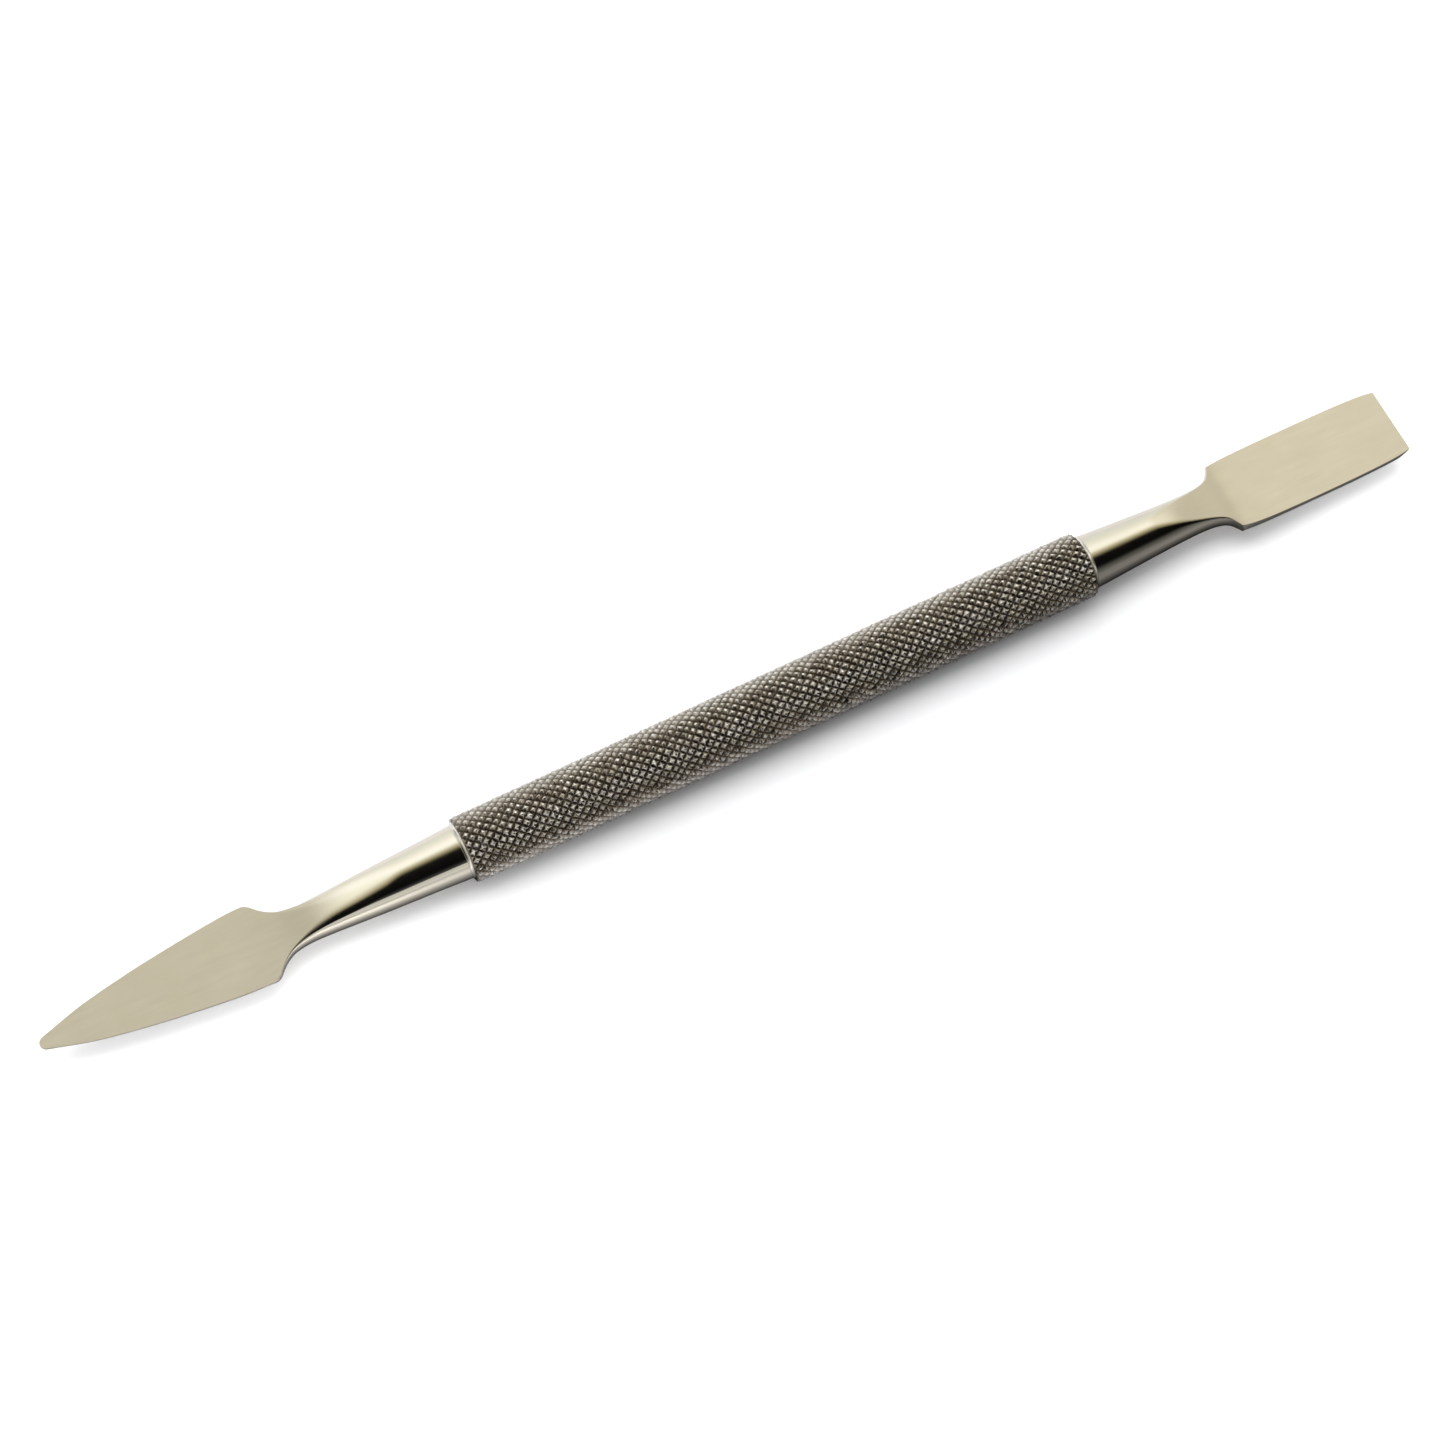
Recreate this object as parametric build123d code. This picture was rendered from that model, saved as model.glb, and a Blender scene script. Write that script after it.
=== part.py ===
from build123d import *
import os

os.makedirs("parts", exist_ok=True)

# Double-ended cuticle pusher, a rigid hand tool in stainless steel.
# Frame: X along the tool, the square blade at +X and the pointed blade at -X;
# Z is normal to both blades; the origin is the centre of the overall box.
# All lengths are in millimetres.

# ---- driving dimensions -------------------------------------------------
HANDLE_D = 6.0            # across the crests of the knurl
HANDLE_L = 60.0
HANDLE_BORE_D = 3.6
HANDLE_END_CHAMFER = 0.28

TANG_D = 3.56             # leaves the capillary gap that the braze fills
TANG_L = 12.0
TANG_TIP_CHAMFER = 0.3

RING_OUT = 0.25           # how far the braze stands out on the handle's end face
RING_ALONG = 0.38         # how far it climbs along the neck

# square end: neck, then a broad blade with a straight working edge
SQ_NECK_L = 14.26
SQ_BLADE_L = 17.05
SQ_NECK_R = [             # (distance from the handle's end, radius)
    (0.0, 2.46), (2.7, 2.29), (5.6, 2.105), (8.6, 1.94), (10.6, 1.875), (11.5, 1.89),
]
SQ_FLARE_R = [            # the concave run out to the shoulder
    (11.5, 1.89), (12.3, 1.965), (12.9, 2.09), (13.3, 2.25), (13.6, 2.47),
]
SQ_SHOULDER_HALF_W = 3.43
SQ_BLADE_HALF_W = [       # (distance from the shoulder, half width)
    (0.0, 3.43), (1.6, 3.50), (5.0, 3.56), (9.0, 3.575), (12.5, 3.54), (15.2, 3.44),
]
SQ_TIP_HALF_W = 3.225
SQ_TIP_CORNER_R = 0.15
SQ_T_BLADE = 0.60         # blade thickness over the working half
SQ_T_TIP = 0.20           # and at the ground edge: the bevel is on the underside
SQ_TIP_BEVEL_L = 1.1
SQ_SCOOP = [              # (distance from the handle's end, half thickness) of the ground flats
    (7.7, 2.03), (8.3, 1.87), (10.0, 1.46), (12.2, 0.97), (13.1, 0.79), (14.26, 0.54),
    (15.4, 0.425), (18.0, 0.335), (21.5, SQ_T_BLADE / 2),
]

# pointed end: a longer neck, then a leaf-shaped blade
PT_NECK_L = 18.5
PT_BLADE_L = 20.2
PT_NECK_R = [
    (0.0, 2.46), (3.6, 2.27), (7.2, 2.09), (10.7, 1.885), (13.3, 1.735), (14.6, 1.715),
]
PT_FLARE_R = [
    (14.6, 1.715), (15.7, 1.82), (16.5, 2.03), (17.2, 2.42), (17.75, 2.88),
]
PT_SHOULDER_HALF_W = 3.58
PT_NOSE_R = 0.628
PT_HALF_W = [             # (distance from the tip, half width)
    (0.453, 0.603), (1.2, 0.82), (1.85, 1.015), (2.9, 1.33), (3.9, 1.61), (5.2, 1.91), (6.7, 2.20),
    (9.0, 2.60), (11.4, 2.95), (14.0, 3.28), (16.8, 3.59), (18.6, 3.72), (19.5, 3.75),
]
PT_T_BLADE = 0.40
PT_T_TIP = 0.12
PT_TIP_BEVEL_L = 2.2
PT_SCOOP = [
    (7.1, 2.12), (8.8, 1.83), (10.8, 1.58), (12.75, 1.33), (14.05, 1.09), (15.4, 0.80), (16.3, 0.61),
    (17.3, 0.455), (18.5, 0.35), (20.0, 0.265), (22.0, 0.215), (24.5, PT_T_BLADE / 2),
]

# ---- placing --------------------------------------------------------------
TOTAL_L = HANDLE_L + SQ_NECK_L + SQ_BLADE_L + PT_NECK_L + PT_BLADE_L
X_SQ_TIP = TOTAL_L / 2
X_SQ_FACE = X_SQ_TIP - SQ_BLADE_L - SQ_NECK_L      # handle end face, square side
X_PT_FACE = X_SQ_FACE - HANDLE_L                   # handle end face, pointed side


def revolve_about_x(edges):
    """Closes a half profile in the XY plane on the X axis and turns it round that axis."""
    with BuildPart() as p:
        with BuildSketch(Plane.XY) as s:
            with BuildLine():
                for e in edges:
                    add(e)
            make_face()
        revolve(axis=Axis.X, revolution_arc=360)
    return p.part


def end_piece(neck_l, blade_l, neck_r, flare_r, shoulder_w, outline_edges, scoop, scoop_start, bevel_l, tip_t):
    """One end of the tool, built towards +X from the handle's end face at x = 0.

    neck and flare are turned, the blade is cut to its outline, and both are then
    ground to the side profile, which leaves flats that run up the neck. The working
    edge is bevelled from below, so the upper face is flat up to the tip.
    """
    tip = neck_l + blade_l
    half_t = scoop[-1][1]
    neck_curve = Spline(*[(x, r) for x, r in neck_r])
    t_end = neck_curve % 1
    x_last, r_last = flare_r[-1]
    flare_curve = Spline(*[(x, r) for x, r in flare_r],
                         tangents=[(t_end.X, t_end.Y), (1, 0.95)])
    turned = revolve_about_x([
        Line((0, 0), (0, neck_r[0][1])),
        neck_curve,
        flare_curve,
        Line((x_last, r_last), (neck_l, shoulder_w)),
        Line((neck_l, shoulder_w), (neck_l, 0)),
        Line((neck_l, 0), (0, 0)),
    ])

    with BuildPart() as b:
        with BuildSketch(Plane.XY):
            with BuildLine():
                for e in outline_edges:
                    add(e)
            make_face()
        extrude(amount=4, both=True)
    body = turned + b.part

    # side profile, upper half from the handle to the tip, mirrored below
    x_scoop, z_scoop = scoop[0]
    with BuildPart() as g:
        with BuildSketch(Plane.XZ):
            with BuildLine():
                Polyline((-1, 0), (-1, 4.0), (x_scoop, 4.0), (x_scoop, z_scoop))
                Spline(*scoop, tangents=[scoop_start, (1, 0)])
                Polyline(scoop[-1], (tip, half_t), (tip, 0), (-1, 0))
            make_face()
            mirror(about=Plane.XZ)
        extrude(amount=6, both=True)
    body = body & g.part

    # bevel under the working edge
    rise = 2 * half_t - tip_t
    with BuildPart() as u:
        with BuildSketch(Plane.XZ):
            with BuildLine():
                Polyline((tip - bevel_l, -half_t), (tip + 0.2, -half_t + rise * (bevel_l + 0.2) / bevel_l),
                         (tip + 0.2, -2), (tip - bevel_l, -2), close=True)
            make_face()
        extrude(amount=6, both=True)
    body = body - u.part

    with BuildPart() as t:
        with Locations(Location((-TANG_L, 0, 0), (0, 90, 0))):
            Cylinder(TANG_D / 2, TANG_L + 0.5, align=(Align.CENTER, Align.CENTER, Align.MIN))
        chamfer(t.edges().filter_by(GeomType.CIRCLE).sort_by(Axis.X)[0], TANG_TIP_CHAMFER)
    return (body + t.part).solids()[0]


# ---- square end ------------------------------------------------------------
def square_outline():
    """Closed outline of the square blade, from just inside the shoulder to the tip."""
    x0 = SQ_NECK_L
    tip = SQ_NECK_L + SQ_BLADE_L
    side = [(x0 + x, w) for x, w in SQ_BLADE_HALF_W]
    upper = Spline(*side)
    end = (tip - SQ_TIP_CORNER_R, SQ_TIP_HALF_W)
    a1 = Spline(side[-1], end, tangents=[upper % 1, (1, -0.18)])
    r = SQ_TIP_CORNER_R
    c1 = ThreePointArc(end, (tip - 0.29 * r, SQ_TIP_HALF_W - 0.31 * r), (tip, SQ_TIP_HALF_W - r))
    half = [upper, a1, c1]
    lower = [e.mirror(Plane.XZ) for e in half]
    return half + [Line((tip, SQ_TIP_HALF_W - r), (tip, -SQ_TIP_HALF_W + r))] + lower + [
        Line((x0, SQ_SHOULDER_HALF_W), (x0, -SQ_SHOULDER_HALF_W))]


square_pusher_end = end_piece(SQ_NECK_L, SQ_BLADE_L, SQ_NECK_R, SQ_FLARE_R, SQ_SHOULDER_HALF_W, square_outline(),
                              SQ_SCOOP, (1, -0.27), SQ_TIP_BEVEL_L, SQ_T_TIP)
square_pusher_end = square_pusher_end.moved(Location((X_SQ_FACE, 0, 0)))


# ---- pointed end -----------------------------------------------------------
def pointed_outline():
    """Closed outline of the leaf blade, from the shoulder to the blunt, round nose."""
    tip = PT_NECK_L + PT_BLADE_L
    side = [(tip - d, w) for d, w in reversed(PT_HALF_W)]
    upper = Spline(*side, tangents=[(1, -0.02), (1, -0.29)])
    c = PT_NOSE_R
    nose = ThreePointArc(side[-1], (tip - c + c * 0.7071, c * 0.7071), (tip, 0))
    half = [upper, nose]
    lower = [e.mirror(Plane.XZ) for e in half]
    x0, w0 = side[0]
    xs = PT_NECK_L
    # rounded corner between the outline and the flare
    c1 = Spline((xs - 0.05, w0 - 0.21), (xs + 0.30, w0 - 0.035), (x0, w0), tangents=[(1, 0.7), (1, 0)])
    return half + lower + [c1, c1.mirror(Plane.XZ), Line((xs - 0.05, w0 - 0.21), (xs - 0.05, -w0 + 0.21))]


pointed_cleaner_end = end_piece(PT_NECK_L, PT_BLADE_L, PT_NECK_R, PT_FLARE_R, PT_SHOULDER_HALF_W, pointed_outline(),
                                PT_SCOOP, (1, -0.16), PT_TIP_BEVEL_L, PT_T_TIP)
pointed_cleaner_end = pointed_cleaner_end.rotate(Axis.Z, 180).moved(Location((X_PT_FACE, 0, 0)))


# ---- handle: a tube, bored through ------------------------------------------
# The outer cylinder runs through the crests of the knurl, and its ends are chamfered.
with BuildPart() as handle:
    with Locations(Location((X_PT_FACE, 0, 0), (0, 90, 0))):
        Cylinder(HANDLE_D / 2, HANDLE_L, align=(Align.CENTER, Align.CENTER, Align.MIN))
        Cylinder(HANDLE_BORE_D / 2, HANDLE_L, align=(Align.CENTER, Align.CENTER, Align.MIN),
                 mode=Mode.SUBTRACT)
    rims = handle.edges().filter_by(GeomType.CIRCLE)
    chamfer([e for e in rims if e.radius > 2.5], HANDLE_END_CHAMFER)
handle_tube = handle.part.solids()[0]


# ---- braze rings: a fillet of filler between the end face and the neck -------
def braze_ring(neck_r):
    """Triangular fillet with a hollow face, towards +X from x = 0."""
    r0 = neck_r[0][1]
    slope = (neck_r[1][1] - neck_r[0][1]) / (neck_r[1][0] - neck_r[0][0])
    r1 = r0 + slope * RING_ALONG
    return revolve_about_x([
        Line((0, r0 + 0.004), (0, r0 + RING_OUT)),
        ThreePointArc((0, r0 + RING_OUT), (RING_ALONG * 0.36, r0 + RING_OUT * 0.40), (RING_ALONG, r1 + 0.03)),
        Line((RING_ALONG, r1 + 0.03), (RING_ALONG, r1 + 0.004)),
        Line((RING_ALONG, r1 + 0.004), (0, r0 + 0.004)),
    ]).solids()[0]


square_end_braze_ring = braze_ring(SQ_NECK_R).moved(Location((X_SQ_FACE, 0, 0)))
pointed_end_braze_ring = braze_ring(PT_NECK_R).rotate(Axis.Z, 180).moved(Location((X_PT_FACE, 0, 0)))

# ---- files -------------------------------------------------------------------
for name, shape in {
    "handle_tube": handle_tube,
    "square_pusher_end": square_pusher_end,
    "pointed_cleaner_end": pointed_cleaner_end,
    "square_end_braze_ring": square_end_braze_ring,
    "pointed_end_braze_ring": pointed_end_braze_ring,
}.items():
    bb = shape.bounding_box()
    print(name, round(shape.volume, 2), [round(v, 3) for v in (*bb.min, *bb.max)], shape.is_valid)
    export_step(shape, f"parts/{name}.step")
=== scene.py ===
import math

import bpy
import numpy as np
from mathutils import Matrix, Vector


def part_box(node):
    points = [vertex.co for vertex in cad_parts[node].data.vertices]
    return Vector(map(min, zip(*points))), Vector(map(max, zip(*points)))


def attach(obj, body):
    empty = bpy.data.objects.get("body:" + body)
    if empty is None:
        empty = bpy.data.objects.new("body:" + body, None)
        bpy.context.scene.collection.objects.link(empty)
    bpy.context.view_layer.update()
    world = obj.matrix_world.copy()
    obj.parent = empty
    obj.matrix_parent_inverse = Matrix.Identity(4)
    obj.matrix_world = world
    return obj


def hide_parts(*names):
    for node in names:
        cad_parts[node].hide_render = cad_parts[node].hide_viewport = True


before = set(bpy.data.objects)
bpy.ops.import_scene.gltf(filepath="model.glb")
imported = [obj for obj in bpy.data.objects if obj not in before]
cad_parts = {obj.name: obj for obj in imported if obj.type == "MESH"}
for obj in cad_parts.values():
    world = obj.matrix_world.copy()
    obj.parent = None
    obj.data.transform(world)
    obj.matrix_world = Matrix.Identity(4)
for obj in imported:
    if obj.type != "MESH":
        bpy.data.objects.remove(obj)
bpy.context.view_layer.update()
MM = 0.001
scene = bpy.context.scene


# ---------------------------------------------------------------- helpers
def spline(points, s0=None, s1=None):
    """A cubic spline through (x, y) points; s0 and s1 are end slopes, free if left out."""
    x = np.array([p[0] for p in points], float)
    y = np.array([p[1] for p in points], float)
    n = len(x)
    h = np.diff(x)
    a = np.zeros((n, n))
    b = np.zeros(n)
    for i in range(1, n - 1):
        a[i, i - 1], a[i, i], a[i, i + 1] = h[i - 1], 2 * (h[i - 1] + h[i]), h[i]
        b[i] = 6 * ((y[i + 1] - y[i]) / h[i] - (y[i] - y[i - 1]) / h[i - 1])
    if s0 is None:
        a[0, 0] = 1
    else:
        a[0, 0], a[0, 1], b[0] = 2 * h[0], h[0], 6 * ((y[1] - y[0]) / h[0] - s0)
    if s1 is None:
        a[-1, -1] = 1
    else:
        a[-1, -1], a[-1, -2], b[-1] = 2 * h[-1], h[-1], 6 * (s1 - (y[-1] - y[-2]) / h[-1])
    m = np.linalg.solve(a, b)

    def f(t):
        t = np.clip(np.asarray(t, float), x[0], x[-1])
        i = np.clip(np.searchsorted(x, t) - 1, 0, n - 2)
        d = x[i + 1] - x[i]
        u, v = x[i + 1] - t, t - x[i]
        return (m[i] * u**3 + m[i + 1] * v**3) / (6 * d) + (y[i] / d - m[i] * d / 6) * u + (
            y[i + 1] / d - m[i + 1] * d / 6) * v

    return f


def step(t, lo, hi):
    t = np.clip((np.asarray(t, float) - lo) / (hi - lo), 0, 1)
    return t * t * (3 - 2 * t)


def smin(a, b, k):
    """The lower of a and b, rounded over k where they meet."""
    k = np.maximum(k, 1e-6)
    h = np.clip(0.5 + 0.5 * (b - a) / k, 0, 1)
    return b * (1 - h) + a * h - k * h * (1 - h)


def stations(*spans):
    """x values: spans are (from, to, spacing)."""
    out = []
    for lo, hi, d in spans:
        n = max(1, int(round((hi - lo) / d)))
        out += list(np.linspace(lo, hi, n + 1)[:-1])
    out.append(spans[-1][1])
    return np.array(out)


def make_mesh(name, verts_mm, faces, smooth=True, attributes=None):
    mesh = bpy.data.meshes.new(name)
    mesh.from_pydata((np.asarray(verts_mm) * MM).tolist(), [], faces)
    mesh.validate()
    mesh.update()
    mesh.polygons.foreach_set("use_smooth", [smooth] * len(mesh.polygons))
    for key, values in (attributes or {}).items():
        layer = mesh.attributes.new(key, "FLOAT", "POINT")
        layer.data.foreach_set("value", np.asarray(values, np.float32))
    obj = bpy.data.objects.new(name, mesh)
    scene.collection.objects.link(obj)
    return obj


# ---------------------------------------------------------------- the two forged ends
N_SIDE, N_TOP = 16, 30      # points of a quarter section: the rounded side, then the ground flat


def end_mesh(name, x_face, sign, xs, width, height, flat, fillet, tang_r, tang_l, satin, blade_x, under):
    """A forged and ground end. At distance x from the handle's end face the section is an oval,
    width(x) by height(x), cut off at +-flat(x) by the two ground faces, with the corner rounded.
    under(x, inset, z) is the part of the thickness that the bevel under the blade leaves at a
    distance inset from the outline: the upper face stays flat to its edge."""
    w, b, z, k = width(xs), height(xs), flat(xs), fillet(xs)
    verts, att_satin, att_edge, att_along = [], [], [], []
    rings = []
    for i, x in enumerate(xs):
        crease = math.asin(min(1.0, max(0.02, z[i] / b[i])))
        true_flat = z[i] < b[i] * 0.999
        split = min(crease, math.radians(36)) if true_flat else math.radians(36)
        tight = float(step(math.degrees(split), 34, 12))
        p = 1 + 1.3 * tight
        s = np.linspace(0, 1, N_SIDE + 1)
        side = split * (1 - (1 - s) ** p)
        t = np.linspace(0, 1, N_TOP + 1)[1:]
        top = split + (math.pi / 2 - split) * t ** (1 + 1.0 * tight)
        q = np.concatenate([side, top])                      # 0 at the side, 90 degrees at the top
        y = w[i] * np.cos(q)
        y[-1] = 0.0
        raw = b[i] * np.sin(q)
        zz = smin(raw, z[i], min(k[i], 0.9 * z[i]))
        on_flat = step(raw - z[i], -0.25 * k[i], 0.35 * k[i])
        # full ring, anticlockwise seen from +x: right side up over the top to the left, then under
        yy = np.concatenate([y, -y[-2::-1]])
        z1 = np.concatenate([zz, zz[-2::-1]])
        fl = np.concatenate([on_flat, on_flat[-2::-1]])
        yy = np.concatenate([yy, -yy[1:-1]])
        z1 = np.concatenate([z1, -z1[1:-1]])
        if under is not None:
            z1 = z[i] - (z[i] - z1) * under(x, w[i] - np.abs(yy), z[i])
        fl = np.concatenate([fl, fl[1:-1]])
        sat = satin(x)
        fl = np.maximum(fl, float(step(x, blade_x - 0.1, blade_x + 0.2)))
        side_face = (1 - np.concatenate([on_flat, on_flat[-2::-1], on_flat[-2::-1], on_flat[1:-1]])) * float(step(x, blade_x - 0.3, blade_x + 0.1))
        first = len(verts)
        for a, c in zip(yy, z1):
            verts.append((x_face + sign * x, sign * a, c))
        att_satin += list(fl * sat)
        att_edge += list(side_face)
        att_along += [x] * len(yy)
        rings.append(list(range(first, first + len(yy))))
    m = len(rings[0])
    faces = []
    for r0, r1 in zip(rings, rings[1:]):
        for j in range(m):
            j2 = (j + 1) % m
            faces.append((r0[j], r0[j2], r1[j2], r1[j]))
    # tip: bridge the upper half of the last ring to the lower half
    last = rings[-1]
    half = m // 2
    for j in range(half):
        a0, a1 = last[j], last[j + 1]
        b0, b1 = last[(m - j) % m], last[(m - j - 1) % m]
        if j == 0:
            faces.append((a0, a1, b1))
        elif j == half - 1:
            faces.append((a0, a1, b0))
        else:
            faces.append((a0, a1, b1, b0))
    # shoulder at the handle, and the tang in the bore
    prev = rings[0]
    for x, r in ((0.0, tang_r), (-tang_l + 0.3, tang_r), (-tang_l, tang_r - 0.3)):
        first = len(verts)
        for j in range(m):
            v = verts[prev[j]]
            d = math.hypot(v[1], v[2])
            verts.append((x_face + sign * x, v[1] / d * r, v[2] / d * r))
        ring = list(range(first, first + m))
        att_satin += [0.0] * m
        att_edge += [0.0] * m
        att_along += [x] * m
        for j in range(m):
            j2 = (j + 1) % m
            faces.append((ring[j], ring[j2], prev[j2], prev[j]))
        prev = ring
    centre = len(verts)
    verts.append((x_face - sign * tang_l, 0.0, 0.0))
    att_satin.append(0.0), att_edge.append(0.0), att_along.append(-tang_l)
    for j in range(m):
        faces.append((centre, prev[(j + 1) % m], prev[j]))
    return make_mesh(name, verts, faces, True, {"satin": att_satin, "side_face": att_edge, "along": att_along})


x_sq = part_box("handle_tube")[1].x / MM
x_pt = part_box("handle_tube")[0].x / MM

# square end
SQ_NECK, SQ_BLADE = 14.26, 17.05
SQ_BEVEL, SQ_TIP_T = 1.1, 0.20
sq_len = SQ_NECK + SQ_BLADE
sq_neck_w = spline([(0, 2.46), (2.7, 2.29), (5.6, 2.105), (8.6, 1.94), (10.6, 1.875), (11.5, 1.89), (12.3, 1.965),
                    (12.9, 2.09), (13.3, 2.25), (13.6, 2.47), (13.86, 2.80), (14.24, 3.43)])
sq_neck_b = spline([(0, 2.46), (2.7, 2.29), (5.6, 2.105), (8.6, 1.94), (10.6, 1.875), (12.2, 1.84), (13.8, 1.81), (14.6, 1.86),
                    (16.0, 2.6), (17.5, 3.3)])
sq_blade_w = spline([(0, 3.43), (1.6, 3.50), (5.0, 3.56), (9.0, 3.575), (12.5, 3.54), (15.2, 3.44), (16.3, 3.335), (16.9, 3.225)])
sq_z = spline([(7.2, 2.15), (8.3, 1.87), (10.0, 1.46), (12.2, 0.97), (13.1, 0.79), (13.7, 0.66), (14.26, 0.54), (15.4, 0.425),
               (18.0, 0.335), (21.5, 0.30)], s1=0)


def sq_width(x):
    x = np.asarray(x, float)
    b = sq_blade_w(np.minimum(x - SQ_NECK, 16.9))
    c = np.clip((x - SQ_NECK - 16.9) / 0.15, 0, 1)
    b = b - 0.15 * (1 - np.sqrt(np.maximum(0, 1 - c**2)))
    return np.where(x < SQ_NECK - 0.2, sq_neck_w(x), smin(3.43 + 1.76 * (x - 14.24), b, 0.06))


def sq_height(x):
    x = np.asarray(x, float)
    return np.minimum(sq_neck_b(x), np.where(x > 16, sq_width(x), 99))


def sq_flat(x):
    x = np.asarray(x, float)
    z = sq_z(np.clip(x, 7.2, 21.5))
    return np.where(x < 7.2, 2.15 + (7.2 - x) * 0.35, z)


def sq_fillet(x):
    return np.interp(x, [8.3, 9.0, 10.0, 11.3, 13.4, 14.1, 14.5], [0.34, 0.32, 0.26, 0.22, 0.15, 0.08, 0.035])


def sq_under(x, inset, z):
    return 1 - max(0.0, (x - sq_len + SQ_BEVEL) / SQ_BEVEL) * (0.60 - SQ_TIP_T) / (2 * z)


sq_xs = stations((0, 7, 0.35), (7, 11, 0.12), (11, 13, 0.08), (13, 14.1, 0.04), (14.1, 14.45, 0.018), (14.45, 15.5, 0.10),
                 (15.5, 29.9, 0.40), (29.9, 30.15, 0.06), (30.15, 30.21, 0.02), (30.21, 31.14, 0.10), (31.14, 31.305, 0.018))
square_end = end_mesh("square_end_steel", x_sq, 1, sq_xs, sq_width, sq_height, sq_flat, sq_fillet, 1.78, 12.0,
                      lambda x: float(step(x, 7.4, 9.8)), SQ_NECK, sq_under)

# pointed end
PT_NECK, PT_BLADE, PT_NOSE = 18.5, 20.2, 0.628
pt_len = PT_NECK + PT_BLADE
pt_neck_w = spline([(0, 2.46), (3.6, 2.27), (7.2, 2.09), (10.7, 1.885), (13.3, 1.735), (14.6, 1.715), (15.7, 1.82), (16.5, 2.03),
                    (17.2, 2.42), (17.75, 2.88), (18.2, 3.36)])
pt_neck_b = spline([(0, 2.46), (3.6, 2.27), (7.2, 2.09), (10.7, 1.885), (13.3, 1.735), (15.0, 1.68), (17.0, 1.66), (18.3, 1.76),
                    (20.0, 2.8), (22.0, 3.5)])
pt_blade_w = spline([(0.453, 0.603), (1.2, 0.82), (1.85, 1.015), (2.9, 1.33), (3.9, 1.61), (5.2, 1.91), (6.7, 2.20), (9.0, 2.60),
                     (11.4, 2.95), (14.0, 3.28), (16.8, 3.59), (18.6, 3.72), (19.5, 3.75), (20.6, 3.74)], s0=0.29)
pt_z = spline([(7.0, 2.11), (8.8, 1.83), (10.8, 1.58), (12.75, 1.33), (14.05, 1.09), (15.4, 0.80), (16.3, 0.61), (17.3, 0.455),
               (18.5, 0.35), (20.0, 0.265), (22.0, 0.215), (24.5, 0.20)], s1=0)


def pt_width(x):
    x = np.asarray(x, float)
    d = pt_len - x
    neck = np.where(x < 18.2, pt_neck_w(x), 3.36 + (x - 18.2) * 0.95)
    w = smin(neck, pt_blade_w(np.clip(d, 0.453, 20.6)), np.where((x > 17.4) & (x < 20), 0.42, 0.0))
    nose = np.sqrt(np.maximum(0, PT_NOSE**2 - (PT_NOSE - d) ** 2))
    return np.where(d < 0.453, nose, w)


def pt_height(x):
    x = np.asarray(x, float)
    return np.minimum(pt_neck_b(x), np.where(x > 20, np.maximum(pt_width(x), 0.5), 99))


def pt_flat(x):
    x = np.asarray(x, float)
    z = pt_z(np.clip(x, 7.0, 24.5))
    return np.where(x < 7.0, 2.11 + (7.0 - x) * 0.35, z)


def pt_fillet(x):
    return np.interp(x, [8.8, 11.0, 14.0, 16.0, 17.3, 18.2, 18.8, 20.0], [0.42, 0.42, 0.40, 0.26, 0.17, 0.10, 0.05, 0.03])


def pt_under(x, inset, z):
    """The leaf's long edges are thin, bevelled from below; the bevel fades out at the shoulders."""
    on = float(step(x, PT_NECK - 0.2, PT_NECK + 1.2))
    edge_t = float(np.interp(x, [19.0, 24.0, 34.0, pt_len], [0.26, 0.20, 0.13, 0.12]))
    bevel = min(1.6, 0.3 + 0.25 * (pt_len - x))
    part = np.minimum(1.0, (edge_t + inset * (2 * z - edge_t) / bevel) / (2 * z))
    return 1 - on * (1 - part)


pt_xs = np.concatenate([stations((0, 7, 0.40), (7, 11, 0.20), (11, 15, 0.14), (15, 17.4, 0.09), (17.4, 18.2, 0.06), (18.2, 19.6, 0.045),
                                 (19.6, 21, 0.12), (21, 35, 0.40), (35, 37.4, 0.20), (37.4, pt_len - 0.453, 0.12)),
                        pt_len - PT_NOSE * (1 - np.cos(np.radians(np.array([68, 62, 56, 50, 44, 38, 32, 26, 20, 14, 9.0]))))])
pointed_end = end_mesh("pointed_end_steel", x_pt, -1, pt_xs, pt_width, pt_height, pt_flat, pt_fillet, 1.78, 12.0,
                       lambda x: float(step(x, 9.5, 14.5)), PT_NECK, pt_under)


# ---------------------------------------------------------------- the knurled handle
STARTS, PITCH, CREST_R, DEPTH, SUB = 22, 0.93, 3.0, 0.33, 8
BORE_R, BORE_MOUTH = 1.8, 0.0
rng = np.random.default_rng(7)


def smooth_noise(shape, cells, seed):
    """Smooth noise in -1 to 1, periodic round the second axis."""
    r = np.random.default_rng(seed)
    grid = r.uniform(-1, 1, (cells[0] + 2, cells[1]))
    a = np.linspace(0, cells[0], shape[0])
    c = np.arange(shape[1]) / shape[1] * cells[1]
    i0, j0 = np.floor(a).astype(int), np.floor(c).astype(int)
    fa, fc = a - i0, c - j0
    fa, fc = fa * fa * (3 - 2 * fa), fc * fc * (3 - 2 * fc)
    j1 = (j0 + 1) % cells[1]
    g = grid
    top = g[i0][:, j0] * (1 - fc) + g[i0][:, j1] * fc
    bot = g[i0 + 1][:, j0] * (1 - fc) + g[i0 + 1][:, j1] * fc
    return top * (1 - fa)[:, None] + bot * fa[:, None]


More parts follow.
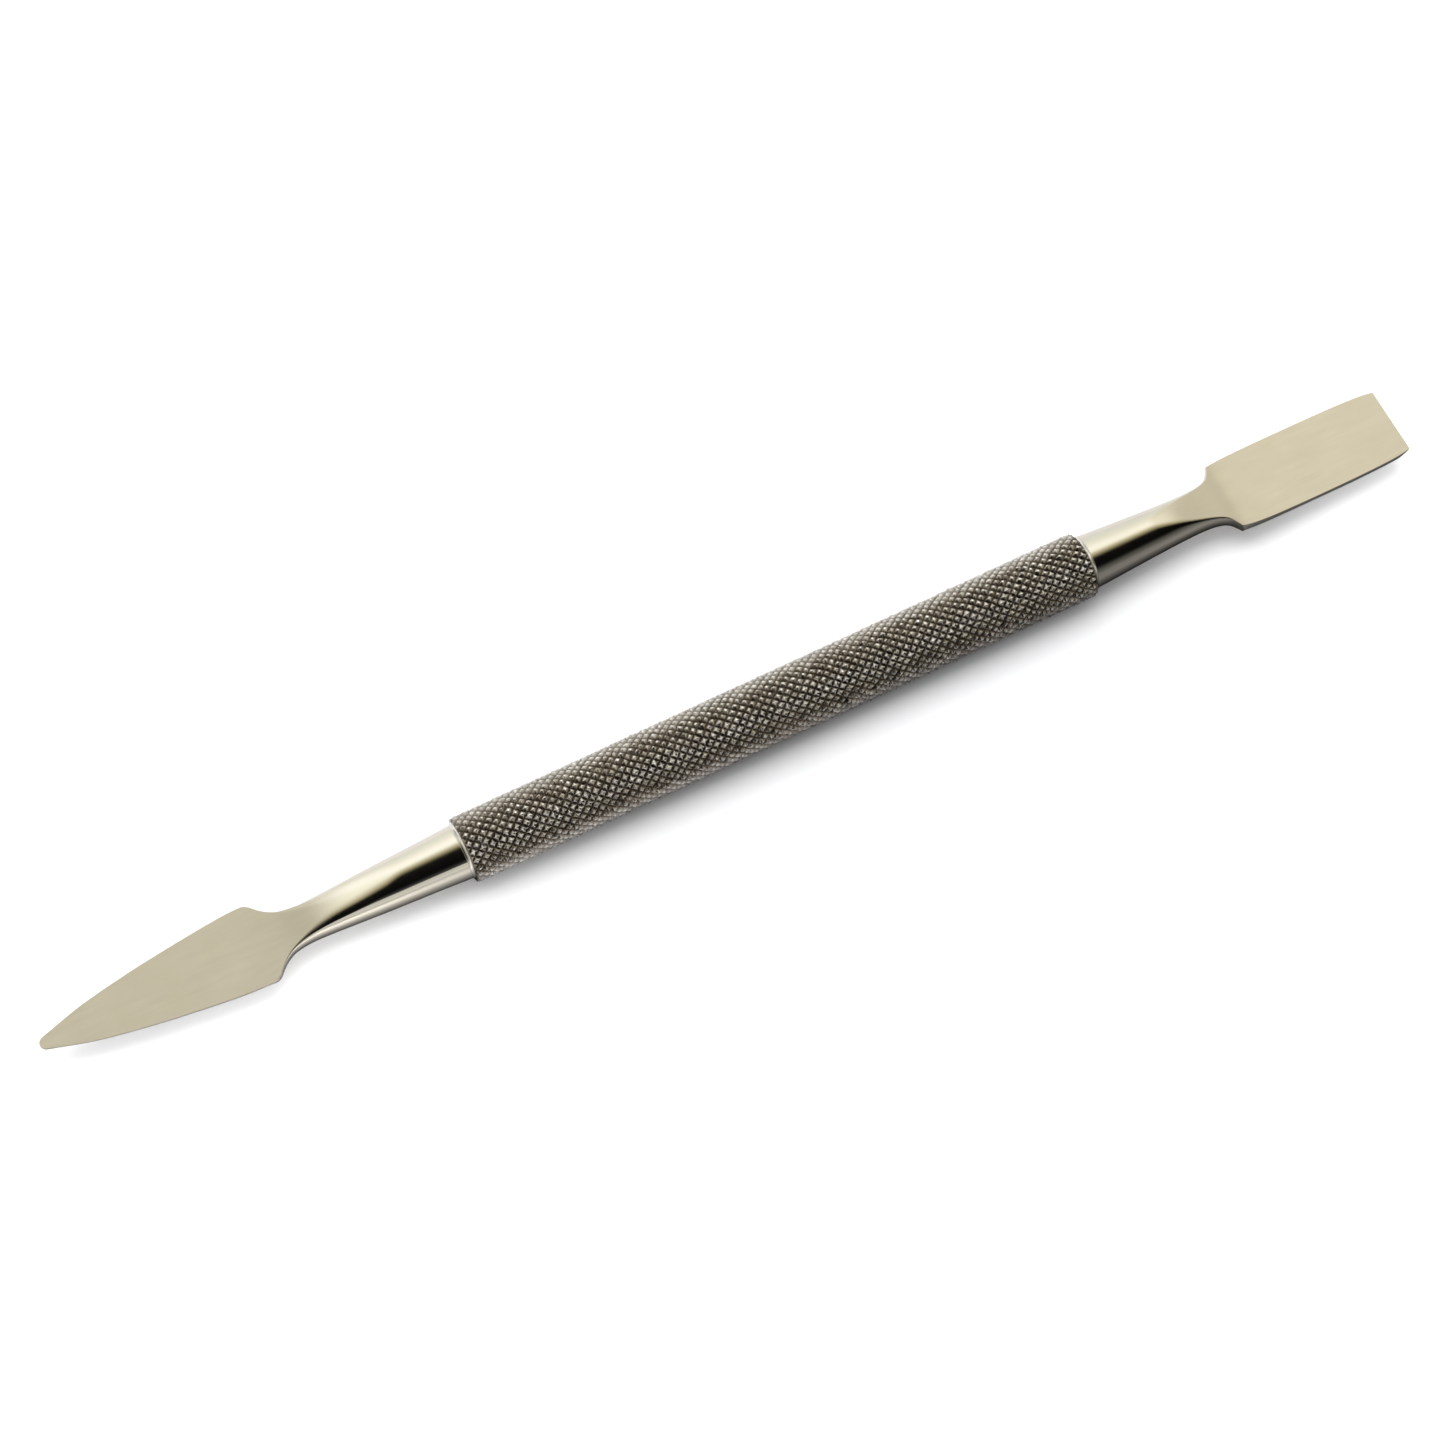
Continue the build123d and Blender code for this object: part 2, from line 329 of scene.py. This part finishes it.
length = x_sq - x_pt
rows_w = int(round(length / PITCH * SUB))
pitch = length / rows_w * SUB
cols = STARTS * SUB
w_i = np.arange(rows_w + 1)
u_j = np.arange(cols)
W, Uu = np.meshgrid(w_i / SUB, u_j / SUB, indexing="ij")
A, B = Uu + W, Uu - W
tri_a, tri_b = 2 * np.abs(A - np.round(A)), 2 * np.abs(B - np.round(B))
h = np.minimum(tri_a, tri_b)
shape = h.shape
crest = 0.84 + 0.15 * smooth_noise(shape, (rows_w // 6, STARTS * 2), 3)
h = smin(h, crest, 0.10)
h = np.clip(h, 0, 1)
fine = smooth_noise(shape, (rows_w // 2, cols // 2), 11)
broad = smooth_noise(shape, (40, 9), 5)
tooth = smooth_noise(shape, (rows_w // 7, STARTS + 5), 41)
radius = CREST_R - DEPTH * (1 - h) - 0.012 * (1 + broad) * 0.5 - 0.015 * (1 + fine) * (0.3 + 0.7 * h) - 0.025 * (1 + tooth) * h + 0.09
dx = 0.080 * smooth_noise(shape, (rows_w // 6, STARTS + 3), 21) + 0.026 * smooth_noise(shape, (rows_w, cols // 2), 31)
dth = (0.075 * smooth_noise(shape, (rows_w // 6, STARTS + 2), 22) + 0.026 * smooth_noise(shape, (rows_w, cols // 2), 32)) / CREST_R
X = W * pitch + dx
fade = np.minimum(w_i, rows_w - w_i) / 4.0
X = W * pitch + dx * np.clip(fade, 0, 1)[:, None]
TH = Uu / STARTS * 2 * math.pi + dth
d_end = np.minimum(X, length - X)
END_R, END_ROUND = 2.66, 0.30
c = np.clip(1 - d_end / END_ROUND, 0, 1)
cap = END_R + (CREST_R + 0.09 - END_R) * np.sqrt(np.maximum(0, 1 - c**2.2))
radius = smin(radius, cap, 0.05)
radius[0, :] = radius[-1, :] = END_R
Y, Z = radius * np.sin(TH), radius * np.cos(TH)
knurl_verts = np.stack([X + x_pt, Y, Z], -1).reshape(-1, 3).tolist()
# the knurl's height, 0 in the grooves and 1 on the crests; the material paints shade into the grooves from it
cavity = h.reshape(-1).tolist()
# a mask for painted shade on the handle's ends and end faces, in the gap next to the braze rings
end_shade = np.clip(1 - (d_end / 0.22), 0, 1).reshape(-1).tolist()
faces = []
for i in range(rows_w):
    for j in range(cols):
        j2 = (j + 1) % cols
        v00, v01, v10, v11 = i * cols + j, i * cols + j2, (i + 1) * cols + j, (i + 1) * cols + j2
        wc, uc = (i + 0.5) / SUB, (j + 0.5) / SUB
        a, b = uc + wc, uc - wc
        if abs(a - round(a)) < abs(b - round(b)):      # the groove runs from v01 to v10
            faces += [(v00, v10, v01), (v01, v10, v11)]
        else:
            faces += [(v00, v10, v11), (v00, v11, v01)]
# end faces and bore
for x, row0, flip in ((x_pt, 0, True), (x_sq, rows_w * cols, False)):
    ring = list(range(row0, row0 + cols))
    first = len(knurl_verts)
    for j in range(cols):
        t = u_j[j] / SUB / STARTS * 2 * math.pi
        knurl_verts.append((x, BORE_R * math.sin(t), BORE_R * math.cos(t)))
        cavity.append(1.0), end_shade.append(1.0)
    inner = list(range(first, first + cols))
    for j in range(cols):
        j2 = (j + 1) % cols
        f = (ring[j], ring[j2], inner[j2], inner[j])
        faces.append(f if flip else f[::-1])
    if flip:
        bore0 = inner
    else:
        for j in range(cols):
            j2 = (j + 1) % cols
            faces.append((bore0[j], bore0[j2], inner[j2], inner[j]))
handle = make_mesh("knurled_handle", knurl_verts, faces, False, {"cavity": cavity, "end_shade": end_shade})


# ---------------------------------------------------------------- braze rings
def ring_mesh(name, x_face, sign, seed):
    """The fillet of braze between the handle's end face and the neck, slightly uneven."""
    n, prof = 160, 12
    r = np.random.default_rng(seed)
    ph = r.uniform(0, 6.28, 6)
    verts, faces = [], []
    for i in range(n):
        t = i / n * 2 * math.pi
        wob = sum(math.sin(k * t + ph[k - 1]) / k for k in (1, 2, 3, 4, 5)) * 0.012
        thick = math.cos(t - 0.6 * sign)
        outer, along = 0.150 + 0.085 * thick + wob, 0.275 + 0.095 * thick + wob
        pts = [(0.0, 2.462)]
        for s in np.linspace(0, 1, prof):
            q = s * math.pi / 2
            bulge = 0.60
            # a concave-to-flat fillet face from the handle's end face to the neck
            cx = along * (1 - math.cos(q)) * bulge + along * s * (1 - bulge)
            cr = outer * (1 - math.sin(q)) * bulge + outer * (1 - s) * (1 - bulge)
            neck = 2.46 - 0.0630 * cx
            pts.append((cx, neck + 0.003 + cr))
        for x, rad in pts:
            verts.append((x_face + sign * x, rad * math.sin(t) * sign, rad * math.cos(t)))
    m = prof + 1
    for i in range(n):
        i2 = (i + 1) % n
        for j in range(m):
            j2 = (j + 1) % m
            faces.append((i * m + j2, i2 * m + j2, i2 * m + j, i * m + j))
    return make_mesh(name, verts, faces, True)


ring_sq = ring_mesh("square_end_braze", x_sq, 1, 4)
ring_pt = ring_mesh("pointed_end_braze", x_pt, -1, 9)


# ---------------------------------------------------------------- materials
def new_material(name):
    m = bpy.data.materials.new(name)
    m.use_nodes = True
    nt = m.node_tree
    nt.nodes.clear()
    out = nt.nodes.new("ShaderNodeOutputMaterial")
    bsdf = nt.nodes.new("ShaderNodeBsdfPrincipled")
    nt.links.new(bsdf.outputs["BSDF"], out.inputs["Surface"])
    return m, nt, bsdf


def node(nt, kind, **settings):
    n = nt.nodes.new(kind)
    for k, v in settings.items():
        setattr(n, k, v)
    return n


def mapping(nt, coord, scale):
    mp = node(nt, "ShaderNodeMapping")
    mp.inputs["Scale"].default_value = scale
    nt.links.new(coord, mp.inputs["Vector"])
    return mp.outputs["Vector"]


def noise_tex(nt, vector, scale, detail=3.0, rough=0.55):
    n = node(nt, "ShaderNodeTexNoise")
    n.inputs["Scale"].default_value = scale
    n.inputs["Detail"].default_value = detail
    n.inputs["Roughness"].default_value = rough
    nt.links.new(vector, n.inputs["Vector"])
    return n.outputs["Fac"]


def math_node(nt, op, a, b=None, c=None, clamp=False):
    n = node(nt, "ShaderNodeMath", operation=op, use_clamp=clamp)
    for i, v in enumerate((a, b, c)):
        if v is None:
            continue
        if isinstance(v, (int, float)):
            n.inputs[i].default_value = v
        else:
            nt.links.new(v, n.inputs[i])
    return n.outputs[0]


def ramp_range(nt, value, lo, hi, to_lo, to_hi):
    n = node(nt, "ShaderNodeMapRange")
    n.inputs["From Min"].default_value, n.inputs["From Max"].default_value = lo, hi
    n.inputs["To Min"].default_value, n.inputs["To Max"].default_value = to_lo, to_hi
    nt.links.new(value, n.inputs["Value"])
    return n.outputs["Result"]


def mix_color(nt, fac, a, b):
    n = node(nt, "ShaderNodeMix", data_type="RGBA")
    if isinstance(fac, (int, float)):
        n.inputs["Factor"].default_value = fac
    else:
        nt.links.new(fac, n.inputs["Factor"])
    for key, v in ((6, a), (7, b)):
        if isinstance(v, tuple):
            n.inputs[key].default_value = (*v, 1.0)
        else:
            nt.links.new(v, n.inputs[key])
    return n.outputs[2]


def attribute(nt, name):
    n = node(nt, "ShaderNodeAttribute", attribute_name=name)
    return n.outputs["Fac"]


def forged_steel(name, satin_color, polished_color, satin_rough, side_color):
    """Mirror-polished neck that turns into a fine ground, satin blade."""
    m, nt, bsdf = new_material(name)
    bsdf.inputs["Metallic"].default_value = 1.0
    coord = node(nt, "ShaderNodeTexCoord").outputs["Object"]
    satin = attribute(nt, "satin")
    side = attribute(nt, "side_face")
    # fine grinding lines along the blade, broad cloudiness, and the odd hairline
    lines = noise_tex(nt, mapping(nt, coord, (260.0, 9000.0, 2500.0)), 1.0, 2.0, 0.6)
    cloud = noise_tex(nt, mapping(nt, coord, (1.0, 1.0, 1.0)), 330.0, 3.0, 0.5)
    speck = noise_tex(nt, mapping(nt, coord, (1.0, 1.0, 1.0)), 5200.0, 2.0, 0.5)
    tone = mix_color(nt, ramp_range(nt, cloud, 0.30, 0.70, 0.0, 1.0), satin_color,
                     tuple(c * k for c, k in zip(satin_color, (0.965, 0.955, 0.93))))
    tone = mix_color(nt, ramp_range(nt, lines, 0.35, 0.75, 0.0, 0.35), tone, tuple(c * 0.93 for c in satin_color))
    colour = mix_color(nt, satin, polished_color, tone)
    colour = mix_color(nt, side, colour, side_color)
    nt.links.new(colour, bsdf.inputs["Base Color"])
    rough_blade = ramp_range(nt, lines, 0.3, 0.7, satin_rough - 0.035, satin_rough + 0.035)
    rough_neck = ramp_range(nt, cloud, 0.3, 0.75, 0.055, 0.09)
    mixr = node(nt, "ShaderNodeMix", data_type="FLOAT")
    nt.links.new(satin, mixr.inputs["Factor"])
    nt.links.new(rough_neck, mixr.inputs[2])
    nt.links.new(rough_blade, mixr.inputs[3])
    nt.links.new(mixr.outputs[0], bsdf.inputs["Roughness"])
    bump_h = math_node(nt, "MULTIPLY", math_node(nt, "ADD", lines, math_node(nt, "MULTIPLY", speck, 0.5)), satin)
    bump = node(nt, "ShaderNodeBump")
    bump.inputs["Strength"].default_value = 0.10
    bump.inputs["Distance"].default_value = 0.00001
    nt.links.new(bump_h, bump.inputs["Height"])
    nt.links.new(bump.outputs["Normal"], bsdf.inputs["Normal"])
    return m


def knurl_steel():
    m, nt, bsdf = new_material("knurled_steel")
    bsdf.inputs["Metallic"].default_value = 1.0
    coord = node(nt, "ShaderNodeTexCoord").outputs["Object"]
    cavity = attribute(nt, "cavity")
    end_shade = attribute(nt, "end_shade")
    shade_and_rough_noise = noise_tex(nt, coord, 1500.0, 4.0, 0.6)
    patch = noise_tex(nt, coord, 420.0, 2.0, 0.5)
    # painted shade: the colour is dark down the knurl's grooves and bright on the crests, its edge broken up by noise
    # that also sets the roughness
    groove_shade = ramp_range(nt, math_node(nt, "ADD", cavity, math_node(nt, "MULTIPLY", math_node(nt, "SUBTRACT", shade_and_rough_noise, 0.5), 0.5)),
                       0.0, 0.70, 0.0, 1.0)
    colour = mix_color(nt, groove_shade, (0.155, 0.110, 0.070), (0.94, 0.89, 0.79))
    colour = mix_color(nt, ramp_range(nt, patch, 0.42, 0.62, 0.0, 0.30), colour, (0.45, 0.38, 0.31))
    # painted shade: the handle's ends are darkened where they meet the braze rings
    colour = mix_color(nt, math_node(nt, "MULTIPLY", end_shade, 0.9), colour, (0.16, 0.14, 0.12))
    nt.links.new(colour, bsdf.inputs["Base Color"])
    rough = ramp_range(nt, shade_and_rough_noise, 0.3, 0.7, 0.11, 0.26)
    nt.links.new(rough, bsdf.inputs["Roughness"])
    bump = node(nt, "ShaderNodeBump")
    bump.inputs["Strength"].default_value = 0.9
    bump.inputs["Distance"].default_value = 0.000045
    nt.links.new(noise_tex(nt, mapping(nt, coord, (1.0, 1.0, 1.0)), 5200.0, 3.0, 0.6), bump.inputs["Height"])
    nt.links.new(bump.outputs["Normal"], bsdf.inputs["Normal"])
    return m


def braze_metal():
    m, nt, bsdf = new_material("bright_braze")
    bsdf.inputs["Metallic"].default_value = 1.0
    coord = node(nt, "ShaderNodeTexCoord").outputs["Object"]
    cloud = noise_tex(nt, coord, 1400.0, 3.0, 0.55)
    colour = mix_color(nt, ramp_range(nt, cloud, 0.35, 0.7, 0.0, 1.0), (0.93, 0.88, 0.76), (0.74, 0.69, 0.58))
    nt.links.new(colour, bsdf.inputs["Base Color"])
    nt.links.new(ramp_range(nt, cloud, 0.3, 0.7, 0.14, 0.26), bsdf.inputs["Roughness"])
    bump = node(nt, "ShaderNodeBump")
    bump.inputs["Strength"].default_value = 0.25
    bump.inputs["Distance"].default_value = 0.00003
    nt.links.new(cloud, bump.inputs["Height"])
    nt.links.new(bump.outputs["Normal"], bsdf.inputs["Normal"])
    return m


POLISHED = (0.82, 0.755, 0.60)
steel_sq = forged_steel("square_end_steel", (0.692, 0.616, 0.456), POLISHED, 0.36, (0.62, 0.57, 0.50))
# painted shade: the pointed end is the same steel as the square end, given a darker satin colour for the dimmer light
# on it
steel_pt = forged_steel("pointed_end_steel", (0.583, 0.519, 0.390), POLISHED, 0.36, (0.62, 0.57, 0.50))
knurl = knurl_steel()
braze = braze_metal()
for obj, mat in ((square_end, steel_sq), (pointed_end, steel_pt), (handle, knurl), (ring_sq, braze), (ring_pt, braze)):
    obj.data.materials.append(mat)

for obj, cad, slot in ((square_end, "square_pusher_end", "square_end_steel"),
                       (pointed_end, "pointed_cleaner_end", "pointed_end_steel"),
                       (handle, "handle_tube", "knurled_steel"),
                       (ring_sq, "square_end_braze_ring", "braze"),
                       (ring_pt, "pointed_end_braze_ring", "braze")):
    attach(obj, "root")
    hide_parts(cad)


# ---------------------------------------------------------------- studio
floor_z = -(CREST_R + 0.04) * MM
bpy.ops.mesh.primitive_plane_add(size=6.0, location=(0, 0, floor_z - 0.00002))
floor = bpy.context.object
floor.name = "floor"
fm, fnt, fb = new_material("floor_white")
fb.inputs["Base Color"].default_value = (0.90, 0.90, 0.90, 1)
fb.inputs["Roughness"].default_value = 1.0
fb.inputs["Specular IOR Level"].default_value = 0.0
# In the steel the table shows as a dim white, with painted light and shade in its colour for mirror rays only: bright
# behind the tool, dimmer in front of the square end, which lies in less light, and darkest close to the tool, a painted
# shadow where it stands in the tool's own shade.
fgeo = fnt.nodes.new("ShaderNodeNewGeometry").outputs["Position"]
fsep = fnt.nodes.new("ShaderNodeSeparateXYZ")
fnt.links.new(fgeo, fsep.inputs[0])
front = ramp_range(fnt, fsep.outputs["X"], -0.026, 0.026, 0.46, 0.155)
shade = ramp_range(fnt, fsep.outputs["Y"], -0.0095, -0.0012, 1.0, 0.08)
behind = ramp_range(fnt, fsep.outputs["Y"], 0.0005, 0.003, 0.0, 1.0)
dim = math_node(fnt, "ADD", math_node(fnt, "MULTIPLY", front, shade), math_node(fnt, "MULTIPLY", behind, 0.64))
fcol = fnt.nodes.new("ShaderNodeCombineColor")
for key in ("Red", "Green"):
    fnt.links.new(dim, fcol.inputs[key])
fnt.links.new(math_node(fnt, "MULTIPLY", dim, 1.07), fcol.inputs["Blue"])
in_steel = fnt.nodes.new("ShaderNodeLightPath").outputs["Is Glossy Ray"]
fnt.links.new(mix_color(fnt, in_steel, (0.90, 0.90, 0.90), fcol.outputs["Color"]), fb.inputs["Base Color"])
# far from the tool the sweep stays as white as it is close by
far = fnt.nodes.new("ShaderNodeVectorMath")
far.operation = "LENGTH"
fnt.links.new(fgeo, far.inputs[0])
seen = fnt.nodes.new("ShaderNodeLightPath").outputs["Is Camera Ray"]
fb.inputs["Emission Color"].default_value = (1, 1, 1, 1)
fnt.links.new(math_node(fnt, "MULTIPLY", ramp_range(fnt, far.outputs["Value"], 0.15, 0.60, 0.0, 0.42), seen),
              fb.inputs["Emission Strength"])
floor.data.materials.append(fm)

# The room that the steel mirrors, as light by direction round the tool's axis: a large warm softbox above and
# behind, a dark front of the room, and a pale table. The floor itself is lit by white light from everywhere.
world = bpy.data.worlds.new("studio")
scene.world = world
world.use_nodes = True
nt = world.node_tree
nt.nodes.clear()
out = nt.nodes.new("ShaderNodeOutputWorld")
coord = nt.nodes.new("ShaderNodeTexCoord").outputs["Generated"]
sep = nt.nodes.new("ShaderNodeSeparateXYZ")
nt.links.new(coord, sep.inputs[0])
minus_y = math_node(nt, "MULTIPLY", sep.outputs["Y"], -1.0)
angle = straight = math_node(nt, "ARCTAN2", minus_y, sep.outputs["Z"])
# the softbox hangs a little askew, so that at the square end it reaches further forward
askew = math_node(nt, "MULTIPLY", ramp_range(nt, sep.outputs["X"], 0.02, 0.38, 0.0, math.radians(11)),
                  ramp_range(nt, angle, math.radians(18), math.radians(50), 1.0, 0.0))
angle = math_node(nt, "SUBTRACT", angle, askew)
fac = ramp_range(nt, angle, -math.pi, math.pi, 0.0, 1.0)
ramp = nt.nodes.new("ShaderNodeValToRGB")
ramp.color_ramp.interpolation = "LINEAR"
ROOM = [  # degrees from straight up towards the front, and what is there
    (-180, (0.10, 0.10, 0.11)), (-150, (0.30, 0.30, 0.32)), (-125, (0.66, 0.68, 0.74)), (-98, (0.84, 0.89, 0.98)),
    (-75, (0.90, 0.95, 0.97)), (-58, (1.02, 1.05, 1.06)), (-43, (1.17, 1.20, 1.27)), (-30, (1.22, 1.27, 1.35)),
    (-20, (1.08, 1.10, 1.06)), (-11, (0.66, 0.64, 0.53)), (-3, (0.36, 0.34, 0.25)), (4, (0.13, 0.12, 0.08)),
    (10, (0.026, 0.024, 0.018)), (16, (0.004, 0.004, 0.004)), (56, (0.004, 0.004, 0.005)), (63, (0.022, 0.023, 0.025)),
    (70, (0.065, 0.068, 0.072)), (84, (0.135, 0.143, 0.150)), (98, (0.215, 0.232, 0.248)), (115, (0.225, 0.24, 0.265)),
    (133, (0.165, 0.175, 0.20)), (150, (0.095, 0.10, 0.115)), (166, (0.065, 0.068, 0.075)), (180, (0.05, 0.052, 0.056)),
]
els = ramp.color_ramp.elements
els[0].position, els[1].position = 0.0, 1.0
for k, (deg, rgb) in enumerate(ROOM):
    pos = (deg + 180) / 360
    e = els[0] if k == 0 else els[-1] if k == len(ROOM) - 1 else els.new(pos)
    e.position = pos
    e.color = (*rgb, 1.0)
nt.links.new(fac, ramp.inputs["Fac"])
room = nt.nodes.new("ShaderNodeBackground")


def along_x(points):
    """A value or colour by how far a direction points along the tool: -1 to the left, 1 to the right."""
    r = nt.nodes.new("ShaderNodeValToRGB")
    for k, (x, v) in enumerate(points):
        e = r.color_ramp.elements[0] if k == 0 else (
            r.color_ramp.elements[-1] if k == len(points) - 1 else r.color_ramp.elements.new((x + 1) / 2))
        e.position = (x + 1) / 2
        e.color = (*v, 1) if isinstance(v, tuple) else (v, v, v, 1)
    nt.links.new(ramp_range(nt, sep.outputs["X"], -1.0, 1.0, 0.0, 1.0), r.inputs["Fac"])
    return r.outputs["Color"]


# the softbox is a little warmer and dimmer to the right of the middle, where the square end's scoop looks
warmer = nt.nodes.new("ShaderNodeMix")
warmer.data_type, warmer.blend_type = "RGBA", "MULTIPLY"
warmer.inputs["Factor"].default_value = 1.0
nt.links.new(ramp.outputs["Color"], warmer.inputs[6])
nt.links.new(along_x([(-1.0, 1.0), (0.36, 1.0), (0.48, (0.88, 0.85, 0.76)), (0.64, (0.88, 0.85, 0.76)), (0.72, 1.0), (1.0, 1.0)]),
             warmer.inputs[7])
nt.links.new(warmer.outputs[2], room.inputs["Color"])

# the softbox is no longer than it has to be, so it gets dimmer towards the ends of the tool; past its ends, and
# low in front on the right, there is an even, warm grey
nt.links.new(along_x([(-1.0, 0.80), (-0.90, 0.70), (-0.72, 0.62), (-0.60, 0.34), (-0.50, 0.45), (-0.40, 1.0), (0.42, 1.0),
                      (0.68, 0.80), (0.76, 0.56), (0.86, 0.56), (0.93, 1.0), (1.0, 1.1)]), room.inputs["Strength"])
past = nt.nodes.new("ShaderNodeBackground")
past.inputs["Color"].default_value = (0.86, 0.84, 0.79, 1)
past.inputs["Strength"].default_value = 1.0
room_mix = nt.nodes.new("ShaderNodeMixShader")
card = math_node(nt, "MULTIPLY", along_x([(-1.0, 0.0), (0.48, 0.0), (0.58, 0.50), (0.75, 0.60), (1.0, 0.60)]),
                 ramp_range(nt, straight, math.radians(52), math.radians(64), 0.0, 1.0))
nt.links.new(math_node(nt, "MAXIMUM", card,
                       along_x([(-1.0, 0.50), (-0.80, 0.42), (-0.66, 0.0), (0.86, 0.0), (0.95, 0.50), (1.0, 0.55)])),
             room_mix.inputs["Fac"])
nt.links.new(room.outputs[0], room_mix.inputs[1])
nt.links.new(past.outputs[0], room_mix.inputs[2])
plain_bg = nt.nodes.new("ShaderNodeBackground")
plain_bg.inputs["Color"].default_value = (0.975, 0.987, 1, 1)
paths = nt.nodes.new("ShaderNodeLightPath")
from_above = ramp_range(nt, straight, math.radians(20), math.radians(38), 1.12, 0.10)
keep = nt.nodes.new("ShaderNodeMix")
keep.data_type = "FLOAT"
nt.links.new(paths.outputs["Is Camera Ray"], keep.inputs["Factor"])
nt.links.new(from_above, keep.inputs[2])
keep.inputs[3].default_value = 1.25
nt.links.new(keep.outputs[0], plain_bg.inputs["Strength"])
mixw = nt.nodes.new("ShaderNodeMixShader")
nt.links.new(paths.outputs["Is Glossy Ray"], mixw.inputs["Fac"])
nt.links.new(plain_bg.outputs[0], mixw.inputs[1])
nt.links.new(room_mix.outputs[0], mixw.inputs[2])
nt.links.new(mixw.outputs[0], out.inputs["Surface"])


def area(name, location, target, size, power, color=(1, 1, 1), mirrored=False):
    d = bpy.data.lights.new(name, "AREA")
    d.shape = "RECTANGLE"
    d.size, d.size_y = size
    d.energy = power
    d.color = color
    o = bpy.data.objects.new(name, d)
    o.location = location
    o.rotation_mode = "QUATERNION"
    o.rotation_quaternion = (Vector(target) - Vector(location)).to_track_quat("-Z", "Y")
    scene.collection.objects.link(o)
    o.visible_glossy = mirrored
    o.visible_diffuse = not mirrored
    o.visible_camera = False
    return o


area("soft_top", (0.0, 0.13, 0.48), (0, 0, 0), (0.45, 0.40), 1.7)
# small fills low in front of the square blade and of the whole pointed end keep the shade under them light
area("fill_square", (0.0615, -0.018, 0.006), (0.0615, -0.001, -0.003), (0.013, 0.005), 0.0026)
area("fill_pointed", (-0.051, -0.018, 0.006), (-0.051, -0.001, -0.003), (0.042, 0.005), 0.0062)
# a pale card that only the pointed end mirrors, low in front of it
area("pale_card", (-0.040, -0.034, 0.006), (-0.040, 0, 0.006), (0.050, 0.011), 0.00097, (0.95, 0.97, 1.0), mirrored=True)

# ---------------------------------------------------------------- camera
cam_data = bpy.data.cameras.new("camera")
cam = bpy.data.objects.new("camera", cam_data)
scene.collection.objects.link(cam)
scene.camera = cam
cam_data.lens = 100.0
cam_data.sensor_width = 36.0
AZ, EL = math.radians(-27.0), math.radians(65.0)
FRAME_W = 0.124
back = Vector((math.sin(AZ) * math.cos(EL), -math.cos(AZ) * math.cos(EL), math.sin(EL)))
target = Vector((-0.0013, 0.0007, 0))
cam.location = target + back * (FRAME_W * cam_data.lens / cam_data.sensor_width)
cam.rotation_mode = "QUATERNION"
cam.rotation_quaternion = (-back).to_track_quat("-Z", "Y")
cam_data.clip_start, cam_data.clip_end = 0.01, 20.0

scene.view_settings.view_transform = "Standard"
scene.view_settings.look = "None"
scene.view_settings.exposure = 0.0
scene.view_settings.gamma = 1.0
